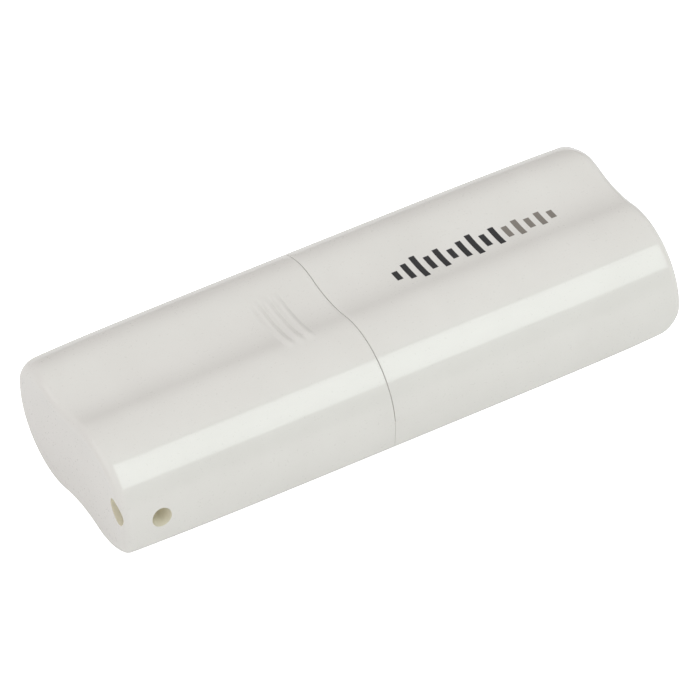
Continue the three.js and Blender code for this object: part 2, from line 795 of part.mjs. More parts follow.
// A spring strip with a rounded nose that reaches into the bore, and a foot outside the housing.
function jackContact({ x, side }) {
  const sheet = JACK_CONTACT_SHEET;
  const rest = JACK_WIDTH / 2 - 2 * sheet;
  const nose = JACK_BORE_RADIUS - JACK_CONTACT_NOSE;
  const halfLength = JACK_CONTACT_HALF_LENGTH;
  const outer = new THREE.Shape();
  outer.moveTo(x - halfLength, rest);
  outer.lineTo(x - halfLength / 2, rest);
  outer.quadraticCurveTo(x, 2 * nose - rest, x + halfLength / 2, rest);
  outer.lineTo(x + halfLength, rest);
  outer.lineTo(x + halfLength, rest + sheet);
  outer.lineTo(x + halfLength / 2 - sheet, rest + sheet);
  outer.quadraticCurveTo(
    x,
    2 * nose - rest + 1.5 * sheet,
    x - halfLength / 2 + sheet,
    rest + sheet,
  );
  outer.lineTo(x - halfLength, rest + sheet);
  outer.closePath();
  const geometry = new THREE.ExtrudeGeometry(outer, {
    depth: JACK_CONTACT_WIDTH,
    bevelEnabled: false,
    curveSegments: 6,
  });
  geometry.translate(0, 0, PARTING_Z - JACK_CONTACT_WIDTH / 2);
  if (side < 0) geometry.rotateX(Math.PI).translate(0, 0, 2 * PARTING_Z);
  geometry.translate(0, JACK_Y, 0);
  const riserY = JACK_Y + side * (rest + sheet / 2);
  const riserFace = riserY - (side * sheet) / 2;
  const footTip = JACK_Y + side * (JACK_WIDTH / 2 + JACK_CONTACT_FOOT_REACH);
  const riser = box(
    [x + halfLength - 2 * sheet, x + halfLength],
    [riserY - sheet / 2, riserY + sheet / 2],
    [PARTING_Z - JACK_CONTACT_WIDTH / 2, BOARD_TOP + sheet],
  );
  const foot = box(
    [x + halfLength - 2 * sheet, x + halfLength],
    [Math.min(riserFace, footTip), Math.max(riserFace, footTip)],
    [BOARD_TOP, BOARD_TOP + sheet],
  );
  return joined([solidOf(geometry), riser, foot]);
}

function jackBushing() {
  const inner = JACK_BORE_RADIUS;
  const outer = BUSHING_RADIUS;
  const front = BODY_LENGTH - BUSHING_RECESS;
  const back = JACK_FRONT_X;
  const chamfer = BUSHING_CHAMFER;
  const profile = [
    new THREE.Vector2(inner, back),
    new THREE.Vector2(outer, back),
    new THREE.Vector2(outer, front - chamfer),
    new THREE.Vector2(outer - chamfer, front),
    new THREE.Vector2(inner + chamfer, front),
    new THREE.Vector2(inner, front - chamfer),
    new THREE.Vector2(inner, back),
  ];
  const geometry = new THREE.LatheGeometry(profile, 32);
  geometry.rotateZ(-Math.PI / 2);
  geometry.translate(0, JACK_Y, PARTING_Z);
  return solidOf(geometry);
}

// The status light and the clear rod that carries it to the end face.

function lightPipe() {
  const flangeBack = BODY_LENGTH - WALL - LIGHT_PIPE_FLANGE;
  return joined([
    rodAlongX([flangeBack, BODY_LENGTH], LIGHT_Y, LIGHT_Z, LIGHT_PIPE_RADIUS),
    rodAlongX(
      [flangeBack, BODY_LENGTH - WALL],
      LIGHT_Y,
      LIGHT_Z,
      LIGHT_PIPE_FLANGE_RADIUS,
    ),
  ]);
}

// Assembly.

const receiver = new THREE.Group();
const fromSeam = new THREE.Group();
fromSeam.position.x = (CAP_LENGTH - BODY_LENGTH) / 2;
receiver.add(fromSeam);

function addPiece(name, solid, colour, roughness, metalness = 0) {
  const material = new THREE.MeshStandardMaterial({ color: colour, roughness, metalness });
  const mesh = new THREE.Mesh(geometryOf(solid), material);
  mesh.name = name;
  fromSeam.add(mesh);
}

const addPearl = (name, solid) => addPiece(name, solid, COLOUR.pearl, 0.25);
const addSteel = (name, solid) => addPiece(name, solid, COLOUR.steel, 0.3, 1);
const addGold = (name, solid) => addPiece(name, solid, COLOUR.gold, 0.3, 1);
const addBlack = (name, solid) => addPiece(name, solid, COLOUR.black, 0.5);
const addCeramic = (name, solid) => addPiece(name, solid, COLOUR.tan, 0.6);
const addTantalum = (name, solid) => addPiece(name, solid, COLOUR.tantalum, 0.5);

addPearl("cap", cap());
addPearl("upper_shell", upperShell());
addPearl("lower_shell", lowerShell());

addSteel("usb_plug_shell", plugShell());
addPiece("usb_plug_tongue", plugTongue(), COLOUR.ivory, 0.5);
addGold("usb_contact_power", plugContact(-OUTER_CONTACT_Y, OUTER_CONTACT_X));
addGold("usb_contact_data_minus", plugContact(-INNER_CONTACT_Y, INNER_CONTACT_X));
addGold("usb_contact_data_plus", plugContact(INNER_CONTACT_Y, INNER_CONTACT_X));
addGold("usb_contact_ground", plugContact(OUTER_CONTACT_Y, OUTER_CONTACT_X));

addPiece("circuit_board", circuitBoard(), COLOUR.board, 0.5);
// Each part on the board is given by the X and Y of its middle, then its length along X, its width
// and its height. The leaded chips add how many leads they have on a side, and the leads' pitch.
addBlack("bluetooth_chip", flatChip(20, 3, 6, 0.9));
addBlack("memory_chip", leadedChip(19.5, -5.6, 5, 4, 1.5, 4, 1.27));
addBlack("voltage_regulator", leadedChip(13.2, -4.2, 2.9, 1.6, 1.1, 3, 0.95));
addSteel("crystal", boxOnBoard(25.6, 4.2, 2.5, 3.2, 0.7));
addPiece("chip_antenna", endedChip(35.8, 8.1, 7, 2, 1.2), COLOUR.ceramic, 0.5);
addBlack("power_inductor", boxOnBoard(13.2, 3, 3, 3, 1.4));
addCeramic("usb_fuse", endedChip(8.6, 2.6, 3.2, 1.6, 0.8));
addTantalum("supply_capacitor", endedChip(8.8, -2.8, 3.5, 2.8, 1.9));
addTantalum("output_capacitor_left", endedChip(31.2, 1.7, 3.5, 2.4, 1.7));
addTantalum("output_capacitor_right", endedChip(35.4, 1.7, 3.5, 2.4, 1.7));
addCeramic("antenna_inductor", endedChip(30.8, 8.1, 1.6, 0.8, 0.8));
const BYPASS_PLACES = [
  [15, 7],
  [17.6, 7.6],
  [22.4, 7.6],
  [15.8, -1.2],
  [23.6, -1.2],
  [11.4, -7.4],
];
BYPASS_PLACES.forEach(([x, y], i) => {
  addCeramic(`bypass_capacitor_${i + 1}`, endedChip(x, y, 1.6, 0.8, 0.8, i % 2 === 1));
});
addPiece("status_led", endedChip(39, LIGHT_Y, 1.6, 0.9, 0.7, true), COLOUR.ceramic, 0.3);
addPiece("light_pipe", lightPipe(), COLOUR.clear, 0.1);

addBlack("jack_housing", jackHousing());
addSteel("jack_bushing", jackBushing());
for (const place of jackContactPlaces()) addSteel(place.name, jackContact(place));

export default receiver;
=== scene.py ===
"""A capped USB-stick audio receiver: its finished surfaces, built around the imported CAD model.

Everything is in metres in the CAD model's own frame: +X from the cap's closed end to the jack,
+Z up. SEAM_X, CAP_END_X and JACK_END_X are places in that frame; every other value that ends
in _X counts from the seam between the cap and the body.
"""

import math

import bmesh
import bpy
import numpy as np
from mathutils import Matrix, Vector


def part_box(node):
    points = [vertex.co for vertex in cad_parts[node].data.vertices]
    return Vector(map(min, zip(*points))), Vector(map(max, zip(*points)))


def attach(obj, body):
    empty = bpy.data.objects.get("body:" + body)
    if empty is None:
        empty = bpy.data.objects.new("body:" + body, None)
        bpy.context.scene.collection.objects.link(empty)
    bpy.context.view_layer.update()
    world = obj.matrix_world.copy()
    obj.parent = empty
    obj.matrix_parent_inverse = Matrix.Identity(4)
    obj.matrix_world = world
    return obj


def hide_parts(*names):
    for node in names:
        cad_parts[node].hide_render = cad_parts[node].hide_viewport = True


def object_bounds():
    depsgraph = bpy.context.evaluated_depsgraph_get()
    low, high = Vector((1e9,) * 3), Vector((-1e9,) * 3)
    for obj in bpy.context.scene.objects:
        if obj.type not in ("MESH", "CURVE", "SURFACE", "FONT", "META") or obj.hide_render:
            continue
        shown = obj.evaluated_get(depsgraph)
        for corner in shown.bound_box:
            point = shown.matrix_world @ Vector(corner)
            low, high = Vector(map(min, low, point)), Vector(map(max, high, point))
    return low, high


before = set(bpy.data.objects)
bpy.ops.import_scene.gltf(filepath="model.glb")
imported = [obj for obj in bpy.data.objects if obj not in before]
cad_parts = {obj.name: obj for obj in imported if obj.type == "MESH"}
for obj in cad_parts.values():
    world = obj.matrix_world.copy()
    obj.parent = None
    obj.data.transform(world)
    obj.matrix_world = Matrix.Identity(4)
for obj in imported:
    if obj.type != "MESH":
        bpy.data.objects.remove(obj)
cad_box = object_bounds()

MM = 0.001

# Places and sizes that come from the frame.
CAP_LOW, CAP_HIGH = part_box("cap")
SHELL_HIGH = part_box("upper_shell")[1]
PLUG_LOW, PLUG_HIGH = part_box("usb_plug_shell")
BUSHING_LOW, BUSHING_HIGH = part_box("jack_bushing")
PIPE_LOW, PIPE_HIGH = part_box("light_pipe")
SEAM_X = CAP_HIGH.x
CAP_END_X = CAP_LOW.x
JACK_END_X = SHELL_HIGH.x
FLOOR_Z = cad_box[0].z
HEIGHT = cad_box[1].z - cad_box[0].z

# The wave-shaped cross-section, which is the same after half a turn.
CROWN_RADIUS = 9.65 * MM
CROWN_OFFSET = 3.87 * MM
LOBE_RADIUS = 8.48 * MM
LOBE_OFFSET = 8.47 * MM
SIDE_RADIUS = 27.7 * MM
CORNER_RADIUS = 1.25 * MM
SHARPEST_CORNER = 0.3 * MM
VALLEY_RADIUS = 16.1 * MM
ARC_POINTS = {"valley": 24, "crown": 44, "side": 12, "corner": 12, "lobe": 28}

# How the section changes towards both ends of the stick.
BARREL = 0.024  # share of its width and height that it loses at either end
END_FILLET = 1.15 * MM
CORNER_DIRECTION = math.radians(62)  # of the top lobe corner, up from +Y
JACK_TOP_CORNER_RADIUS = 1.4 * MM
JACK_LOW_CORNER_RADIUS = 3.1 * MM
CAP_CORNER_RADIUS = 2.2 * MM
CORNER_LENGTH = 8 * MM  # the stretch of the stick over which a rounded corner dies out

# How finely the surfaces are divided.
STATION_SPACING = 1 * MM
MOUTH_SPACING = 0.5 * MM
RIB_SPACING = 0.08 * MM
ROUND_SEGMENTS = 64
FINE_SEGMENTS = 96
POST_SEGMENTS = 32

# Walls, gaps and edges.
WALL = 1.4 * MM
UPPER_SEAM_GAP = 0.07 * MM
LOWER_SEAM_GAP = 0.012 * MM
SEAM_EDGE = 0.08 * MM
PARTING_Z = -1.4 * MM
PARTING_GAP = 0.004 * MM
COLLAR_LENGTH = 5 * MM
COLLAR_WALL = 1.2 * MM
COLLAR_CLEARANCE = 0.12 * MM
COLLAR_INSET = WALL + COLLAR_CLEARANCE
COLLAR_EDGE = 0.35 * MM
OVERRUN = 1 * MM  # how far a cutting solid runs past the face that it cuts

# The lanyard tunnel and the grip ribs.
TUNNEL_RADIUS = 1.33 * MM
TUNNEL_MOUTH_HALF_WIDTH = 0.95 * MM
TUNNEL_MOUTH_HALF_LENGTH = 1.8 * MM
TUNNEL_MOUTH_TILT = math.radians(37)
TUNNEL_END_Y = -11.25 * MM
TUNNEL_END_Z = 0.35 * MM
TUNNEL_SIDE_X = -32.8 * MM
TUNNEL_SIDE_Z = -1.45 * MM
TUNNEL_BLOCK_X = -29.6 * MM
TUNNEL_BLOCK_Y = -8 * MM
RIB_COUNT = 3
RIB_PITCH = 1.45 * MM
RIB_FIRST_X = -5.6 * MM
RIB_Y = 1.7 * MM
RIB_HALF_LENGTH = 4.9 * MM
RIB_HALF_WIDTH = 0.7 * MM
RIB_HEIGHT = 0.27 * MM

# The plug, the jack and the light.
PLUG_REAR_X = 1.75 * MM
PLUG_SHEET = 0.3 * MM
PLUG_SHEET_EDGE = 0.06 * MM
PLUG_JOINT_WIDTH = 0.08 * MM
PLUG_CORNER = 0.6 * MM
PLUG_WINDOW_GAP = 0.2 * MM
LATCH_HOLE_X = -11.8 * MM
LATCH_HOLE_Y = 3.25 * MM
LATCH_HOLE_LENGTH = 2.2 * MM
LATCH_HOLE_WIDTH = 2.5 * MM
LATCH_HOLE_CORNER = 0.3 * MM
JACK_Y = (BUSHING_LOW.y + BUSHING_HIGH.y) / 2
JACK_Z = (BUSHING_LOW.z + BUSHING_HIGH.z) / 2
JACK_BORE_RADIUS = 1.8 * MM
BUSHING_RADIUS = (BUSHING_HIGH.y - BUSHING_LOW.y) / 2
BUSHING_GAP = 0.1 * MM
BUSHING_EDGE = 0.25 * MM
BUSHING_LEAD_IN = 0.4 * MM
LIGHT_Y = (PIPE_LOW.y + PIPE_HIGH.y) / 2
LIGHT_Z = (PIPE_LOW.z + PIPE_HIGH.z) / 2
LIGHT_PIPE_RADIUS = 0.9 * MM
LIGHT_PIPE_DOME = 0.12 * MM
LIGHT_PIPE_GAP = 0.05 * MM

# The posts and locating pins that hold the board.
BOARD_LOW, BOARD_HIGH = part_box("circuit_board")
POST_RADIUS = 1.3 * MM
PIN_RADIUS = 0.7 * MM
# Their X counts from the seam too.
POST_PLACES = [(8 * MM, -8.2 * MM), (8 * MM, 7.4 * MM), (25 * MM, -9 * MM), (27 * MM, 7.6 * MM)]

# The generic mark that is printed on the upper shell: bars whose heights are shares of the tallest.
MARK_HEIGHTS = [0.4, 0.7, 1, 0.6, 0.85, 0.45, 0.75, 0.95, 0.55, 0.8, 0.5, 0.7, 0.45, 0.6, 0.35]
MARK_DARK_BARS = 10
MARK_START_X = 9.2 * MM
MARK_PITCH = 1.6 * MM
MARK_BAR_WIDTH = 0.8 * MM
MARK_TALLEST = 4.2 * MM
MARK_Y = 1.9 * MM
MARK_INK = 0.012 * MM  # how far the ink stands above the surface, and reaches below it


# The cross-section, as tangent arcs.


def centre_at(start, start_distance, end, end_distance, side):
    """The centre that lies at given distances from two other centres, on the chosen side."""
    apart = np.linalg.norm(end - start)
    along = (start_distance**2 - end_distance**2 + apart**2) / (2 * apart)
    across = math.sqrt(start_distance**2 - along**2)
    direction = (end - start) / apart
    normal = np.array([-direction[1], direction[0]])
    return start + direction * along + normal * side * across


def angle_from(centre, point):
    return math.atan2(point[1] - centre[1], point[0] - centre[0])


def arc(centre, radius, start, end, counterclockwise, count):
    """Points on an arc, without its last point, which is the next arc's first."""
    turn = 2 * math.pi
    sweep = math.fmod(end - start, turn)
    if counterclockwise and sweep < 0:
        sweep += turn
    if not counterclockwise and sweep > 0:
        sweep -= turn
    angles = start + sweep * np.arange(count) / count
    return np.stack(
        [centre[0] + radius * np.cos(angles), centre[1] + radius * np.sin(angles)], axis=1
    )


def section(inset):
    """The outline moved in by inset, counterclockwise, as rows of Y and Z."""
    crown = np.array([-CROWN_OFFSET, HEIGHT / 2 - CROWN_RADIUS])
    lobe = np.array([-LOBE_OFFSET, LOBE_RADIUS - HEIGHT / 2])
    side = np.array([SIDE_RADIUS - CROWN_OFFSET - CROWN_RADIUS, crown[1]])
    crown_radius = CROWN_RADIUS - inset
    lobe_radius = LOBE_RADIUS - inset
    side_radius = SIDE_RADIUS - inset
    valley_radius = VALLEY_RADIUS + inset
    corner_radius = max(CORNER_RADIUS - inset, SHARPEST_CORNER)
    corner = centre_at(side, side_radius - corner_radius, lobe, lobe_radius - corner_radius, 1)
    valley = centre_at(
        -lobe, valley_radius + lobe_radius, crown, valley_radius + crown_radius, -1
    )
    valley_start = angle_from(valley, -lobe)
    valley_end = angle_from(valley, crown)
    side_end = angle_from(side, corner)
    corner_end = angle_from(lobe, corner)
    half = np.concatenate(
        [
            arc(valley, valley_radius, valley_start, valley_end, False, ARC_POINTS["valley"]),
            arc(crown, crown_radius, valley_end + math.pi, math.pi, True, ARC_POINTS["crown"]),
            arc(side, side_radius, math.pi, side_end, True, ARC_POINTS["side"]),
            arc(corner, corner_radius, side_end, corner_end, True, ARC_POINTS["corner"]),
            arc(lobe, lobe_radius, corner_end, valley_start, True, ARC_POINTS["lobe"]),
        ]
    )
    return np.concatenate([half, -half])


def barrel_scale(x):
    """The section's scale: whole in the stick's straight middle, less towards both ends."""
    middle = (CAP_END_X + JACK_END_X) / 2
    reach = (JACK_END_X - CAP_END_X) / 2
    return 1 - BARREL * ((x - middle) / reach) ** 4


def corner_reach(outline):
    """How far out each point of an outline lies towards the top lobe corner."""
    return outline[:, 0] * math.cos(CORNER_DIRECTION) + outline[:, 1] * math.sin(CORNER_DIRECTION)


WIDEST_REACH = float(corner_reach(section(0)).max())


def drawn_back(reach, radius):
    """How far a rounded corner draws back points that have the given reach."""
    into = np.clip(reach - (WIDEST_REACH - radius), 0, radius)
    return radius - np.sqrt(radius**2 - into**2)


def rounded_x(x, outline):
    """Where an outline's points come to lie along the stick once the ends' corners are round."""
    jack_share = np.clip((x - JACK_END_X + CORNER_LENGTH) / CORNER_LENGTH, 0, 1)
    cap_share = np.clip((CAP_END_X + CORNER_LENGTH - x) / CORNER_LENGTH, 0, 1)
    reach = corner_reach(outline)
    top_corner = drawn_back(reach, JACK_TOP_CORNER_RADIUS)
    low_corner = drawn_back(-reach, JACK_LOW_CORNER_RADIUS)
    cap_corner = drawn_back(reach, CAP_CORNER_RADIUS)
    return x - jack_share * (top_corner + low_corner) + cap_share * cap_corner


def top_at(x, y):
    """The height of the top surface at a place on it."""
    scale = barrel_scale(x)
    outline = section(0) * scale
    upper = outline[outline[:, 1] > 0]
    order = np.argsort(upper[:, 0])
    return float(np.interp(y, upper[order, 0], upper[order, 1]))


# Meshes from outlines.


def mesh_object(name, vertices, faces):
    mesh = bpy.data.meshes.new(name)
    mesh.from_pydata([tuple(v) for v in vertices], [], faces)
    mesh.update()
    piece = bpy.data.objects.new(name, mesh)
    bpy.context.scene.collection.objects.link(piece)
    return piece


def lofted(name, stations, bump=None):
    """A closed solid skinned over outlines at stations (x, inset), in the barrel form.

    bump gives the height to add to each point of a ring.
    """
    rings = []
    for x, inset in stations:
        outline = section(inset)
        ring = np.column_stack([rounded_x(x, outline), outline * barrel_scale(x)])
        if bump:
            ring[:, 2] += bump(ring)
        rings.append(ring)
    count = len(rings[0])
    faces = []
    for s in range(len(rings) - 1):
        for i in range(count):
            a = s * count + i
            b = s * count + (i + 1) % count
            faces.append((a, b, b + count, a + count))
    faces.append(tuple(reversed(range(count))))
    last = (len(rings) - 1) * count
    faces.append(tuple(last + i for i in range(count)))
    return mesh_object(name, np.concatenate(rings), faces)


def plain_stations(start, end, inset, spacing=STATION_SPACING):
    """Stations of one inset, both ends included."""
    count = max(2, round(abs(end - start) / spacing) + 1)
    return [(x, inset) for x in np.linspace(start, end, count)]


def round_stations(end, radius, inwards, inset=0.0, steps=10):
    """Stations of a quarter-round edge, from the end face inwards."""
    stations = []
    for i in range(steps):
        angle = math.pi / 2 * i / steps
        depth = radius * (1 - math.cos(angle))
        stations.append((end + inwards * depth, inset + radius * (1 - math.sin(angle))))
    return stations


def end_stations(end, corner_radius, inwards, flat_steps=10):
    """Stations of an end, from its flat middle over the rounded corners and the round edge."""
    flat = [
        (end, corner_radius + (END_FILLET - corner_radius) * i / flat_steps)
        for i in range(flat_steps)
    ]
    return flat + round_stations(end, END_FILLET, inwards)


def box(name, low, high):
    x0, y0, z0 = low
    x1, y1, z1 = high
    corners = [
        (x0, y0, z0), (x1, y0, z0), (x1, y1, z0), (x0, y1, z0),
        (x0, y0, z1), (x1, y0, z1), (x1, y1, z1), (x0, y1, z1),
    ]  # fmt: skip
    sides = [(0, 3, 2, 1), (4, 5, 6, 7), (0, 1, 5, 4), (1, 2, 6, 5), (2, 3, 7, 6), (3, 0, 4, 7)]
    return mesh_object(name, corners, sides)


def prism_faces(count):
    """The faces of a prism whose vertices are one end's outline and then the other's."""
    faces = [tuple(reversed(range(count))), tuple(range(count, 2 * count))]
    for i in range(count):
        j = (i + 1) % count
        faces.append((i, j, j + count, i + count))
    return faces


def prism_along_x(name, x_range, outline):
    """A closed solid between two X, over a counterclockwise outline of Y and Z."""
    vertices = [(x, y, z) for x in x_range for y, z in outline]
    return mesh_object(name, vertices, prism_faces(len(outline)))


def prism_along_z(name, z_range, outline):
    """A closed solid between two Z, over a counterclockwise outline of X and Y."""
    vertices = [(x, y, z) for z in z_range for x, y in outline]
    return mesh_object(name, vertices, prism_faces(len(outline)))


def quarter_turn(steps):
    """Angles from 0 to a quarter turn, both included."""
    return [math.pi / 2 * i / steps for i in range(steps + 1)]


def rounded_rectangle(centre, half_size, radius, steps=8):
    """A counterclockwise outline, as pairs of coordinates."""
    outline = []
    for quarter, (side_a, side_b) in enumerate([(1, 1), (-1, 1), (-1, -1), (1, -1)]):
        corner_a = centre[0] + side_a * (half_size[0] - radius)
        corner_b = centre[1] + side_b * (half_size[1] - radius)
        for turn in quarter_turn(steps):
            angle = quarter * math.pi / 2 + turn
            outline.append(
                (corner_a + radius * math.cos(angle), corner_b + radius * math.sin(angle))
            )
    return outline


def lathe(name, profile, origin, axis, segments=ROUND_SEGMENTS):
    """A solid of revolution around a line through origin.

    The rows of profile are a distance along axis and a radius. They form a closed loop, or a
    line that starts and ends on the axis.
    """
    turn = Vector((0, 0, 1)).rotation_difference(Vector(axis)).to_matrix()
    on_axis = profile[0][1] == 0 and profile[-1][1] == 0
    inner = profile[1:-1] if on_axis else profile
    vertices = []
    for along, radius in inner:
        for s in range(segments):
            angle = 2 * math.pi * s / segments
            point = Vector((radius * math.cos(angle), radius * math.sin(angle), along))
            vertices.append(Vector(origin) + turn @ point)
    faces = []
    rings = len(inner)
    for r in range(rings - 1 if on_axis else rings):
        for s in range(segments):
            a = r * segments + s
            b = r * segments + (s + 1) % segments
            c = ((r + 1) % rings) * segments + (s + 1) % segments
            d = ((r + 1) % rings) * segments + s
            faces.append((a, b, c, d))
    if on_axis:
        faces.append(tuple(reversed(range(segments))))
        faces.append(tuple((rings - 1) * segments + s for s in range(segments)))
    piece = mesh_object(name, vertices, faces)
    make_outward(piece)
    return piece


def make_outward(piece):
    """Turns every face's front side out."""
    work = bmesh.new()
    work.from_mesh(piece.data)
    bmesh.ops.recalc_face_normals(work, faces=work.faces)
    work.to_mesh(piece.data)
    work.free()


def rod(name, start, end, radius, segments=ROUND_SEGMENTS):
    start, end = Vector(start), Vector(end)
    length = (end - start).length
    return lathe(
        name, [(0, 0), (0, radius), (length, radius), (length, 0)], start, end - start, segments
    )


def ball(name, centre, radius, rings=24):
    angles = [math.pi * i / rings for i in range(rings + 1)]
    profile = [(-radius * math.cos(a), radius * math.sin(a)) for a in angles]
    profile[0] = (-radius, 0)
    profile[-1] = (radius, 0)
    return lathe(name, profile, centre, (0, 0, 1))


def combine(piece, other, operation):
    """Joins, cuts or intersects piece with other, which is used up.

    The faces that come from other keep its material, or get the piece's own if it has none.
    """
    if piece.data.materials and not other.data.materials:
        other.data.materials.append(piece.data.materials[0])
    modifier = piece.modifiers.new("combine", "BOOLEAN")
    modifier.operation = operation
    modifier.object = other
    modifier.solver = "MANIFOLD"
    modifier.material_mode = "TRANSFER"
    graph = bpy.context.evaluated_depsgraph_get()
    result = bpy.data.meshes.new_from_object(piece.evaluated_get(graph))
    piece.modifiers.clear()
    piece.data = result
    bpy.data.objects.remove(other)
    return piece


def cut(piece, *others):
    for other in others:
        combine(piece, other, "DIFFERENCE")
    return piece


def join(piece, *others):
    for other in others:
        combine(piece, other, "UNION")
    return piece


def keep_within(piece, other):
    return combine(piece, other, "INTERSECT")


def smooth(piece, sharp_from=math.radians(32)):
    for polygon in piece.data.polygons:
        polygon.use_smooth = True
    piece.data.set_sharp_from_angle(angle=sharp_from)


def round_edges(piece, width, sharp_from=math.radians(40)):
    bevel = piece.modifiers.new("edges", "BEVEL")
    bevel.width = width
    bevel.segments = 2
    bevel.limit_method = "ANGLE"
    bevel.angle_limit = sharp_from


def made_of(material, piece):
    piece.data.materials.clear()
    piece.data.materials.append(material)
    return piece


def finish_piece(piece, body, node):
    """Puts a piece on its body, in the place of a CAD node unless node is None."""
    smooth(piece)
    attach(piece, body)
    if node:
        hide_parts(node)


# Materials, all procedural.


class Shader:
    """A Principled material with helpers that add textures in object space."""

    def __init__(self, name):
        self.material = bpy.data.materials.new(name)
        self.material.use_nodes = True
        self.nodes = self.material.node_tree.nodes
        self.links = self.material.node_tree.links
        self.surface = self.nodes["Principled BSDF"]
        self.place = self.nodes.new("ShaderNodeTexCoord").outputs["Object"]

    def set(self, **values):
        for name, value in values.items():
            self.surface.inputs[name.replace("_", " ")].default_value = value
        return self

    def noise(self, size, detail=2.0, stretch=(1, 1, 1)):
        """Noise whose features are about size across, drawn out along an axis by stretch."""
        mapping = self.nodes.new("ShaderNodeMapping")
        mapping.inputs["Scale"].default_value = [1 / (size * s) for s in stretch]
        self.links.new(self.place, mapping.inputs["Vector"])
        noise = self.nodes.new("ShaderNodeTexNoise")
        noise.inputs["Scale"].default_value = 1
        noise.inputs["Detail"].default_value = detail
        self.links.new(mapping.outputs["Vector"], noise.inputs["Vector"])
        return noise.outputs["Fac"]

    def ranged(self, source, low, high):
        """The middle of a noise's range, spread from low to high."""
        node = self.nodes.new("ShaderNodeMapRange")
        node.inputs["From Min"].default_value = 0.3
        node.inputs["From Max"].default_value = 0.7
        node.inputs["To Min"].default_value = low
        node.inputs["To Max"].default_value = high
        self.links.new(source, node.inputs["Value"])
        return node.outputs["Result"]

    def vary(self, name, source, low, high):
        self.links.new(self.ranged(source, low, high), self.surface.inputs[name])
        return self

    def colours(self, source, first, second):
        mix = self.nodes.new("ShaderNodeMix")
        mix.data_type = "RGBA"
        mix.inputs["A"].default_value = (*first, 1)
        mix.inputs["B"].default_value = (*second, 1)
        self.links.new(self.ranged(source, 0, 1), mix.inputs["Factor"])
        self.links.new(mix.outputs["Result"], self.surface.inputs["Base Color"])
        return self

    def bump(self, source, height, strength=1.0):
        node = self.nodes.new("ShaderNodeBump")
        node.inputs["Distance"].default_value = height
        node.inputs["Strength"].default_value = strength
        self.links.new(source, node.inputs["Height"])
        self.links.new(node.outputs["Normal"], self.surface.inputs["Normal"])
        return self


def pearl_plastic():
    """Clear-coated plastic with a faint pearl sheen."""
    shader = Shader("pearl_plastic")
    shader.set(IOR=1.5, Coat_Weight=1.0, Coat_IOR=1.5)
    shader.colours(shader.noise(9 * MM, 3), (0.77, 0.751, 0.716), (0.8, 0.782, 0.747))
    shader.vary("Roughness", shader.noise(0.3 * MM, 3), 0.27, 0.31)
    shader.vary("Coat Roughness", shader.noise(3 * MM, 4), 0.03, 0.06)
    shader.bump(shader.noise(0.8 * MM, 3), 0.0006 * MM, 0.5)
    return shader.material


def raw_plastic_painted_glow():
    """The plastic without its clear coat, on the walls inside and in the tunnel. Its colour is
    lighter and yellower than the pearl plastic's: a painted glow that stands in for light passing
    through the thin translucent walls into the hollows.
    """
    shader = Shader("raw_plastic_painted_glow")
    shader.colours(shader.noise(2 * MM, 3), (0.9, 0.86, 0.71), (0.93, 0.89, 0.75))
    shader.vary("Roughness", shader.noise(0.2 * MM, 3), 0.35, 0.5)
    shader.bump(shader.noise(0.1 * MM, 3), 0.002 * MM, 0.5)
    return shader.material


def plug_steel():
    shader = Shader("plug_steel").set(Metallic=1.0)
    grain = shader.noise(0.12 * MM, 3, stretch=(25, 1, 1))
    shader.colours(shader.noise(2.5 * MM, 3), (0.62, 0.62, 0.62), (0.74, 0.74, 0.735))
    shader.vary("Roughness", grain, 0.2, 0.34)
    shader.bump(grain, 0.002 * MM, 0.5)
    return shader.material


def nickel():
    shader = Shader("nickel").set(Metallic=1.0)
    shader.colours(shader.noise(0.9 * MM, 3), (0.68, 0.66, 0.62), (0.78, 0.77, 0.74))
    shader.vary("Roughness", shader.noise(0.3 * MM, 3), 0.12, 0.24)
    shader.bump(shader.noise(0.15 * MM, 2), 0.0015 * MM, 0.4)
    return shader.material


def contact_gold():
    shader = Shader("contact_gold").set(Metallic=1.0)
    wipe = shader.noise(0.1 * MM, 3, stretch=(30, 1, 1))
    shader.colours(wipe, (0.72, 0.5, 0.19), (0.86, 0.66, 0.32))
    shader.vary("Roughness", wipe, 0.16, 0.3)
    return shader.material


def moulded(name, dark, light, grain=0.25 * MM, roughness=(0.42, 0.6), depth=0.004 * MM):
    """Satin moulded plastic or ceramic, with a fine spark-eroded grain."""
    shader = Shader(name)
    texture = shader.noise(grain, 4)
    shader.colours(shader.noise(grain * 8, 3), dark, light)
    shader.vary("Roughness", texture, *roughness)
    shader.bump(texture, depth, 0.5)
    return shader.material


def board_mask():
    """Green solder mask over woven glass fibre."""
    shader = Shader("board_mask").set(Coat_Weight=0.6, Coat_Roughness=0.15)
    weave = shader.noise(0.5 * MM, 2, stretch=(1, 2.5, 1))
    shader.colours(weave, (0.012, 0.09, 0.035), (0.022, 0.14, 0.06))
    shader.vary("Roughness", shader.noise(0.8 * MM, 3), 0.3, 0.45)
    shader.bump(weave, 0.006 * MM, 0.5)
    return shader.material


def clear_plastic():
    shader = Shader("clear_plastic")
    shader.set(Transmission_Weight=0.85, IOR=1.49)
    shader.colours(shader.noise(0.6 * MM, 2), (0.9, 0.93, 0.95), (0.97, 0.98, 0.99))
    shader.vary("Roughness", shader.noise(0.4 * MM, 3), 0.12, 0.25)
    shader.bump(shader.noise(0.2 * MM, 3), 0.002 * MM, 0.5)
    return shader.material


def printed_ink(name, dark, light):
    shader = Shader(name)
    shader.colours(shader.noise(0.15 * MM, 4), dark, light)
    shader.vary("Roughness", shader.noise(0.1 * MM, 3), 0.35, 0.55)
    shader.bump(shader.noise(0.05 * MM, 3), 0.001 * MM, 0.5)
    return shader.material


# The cap.


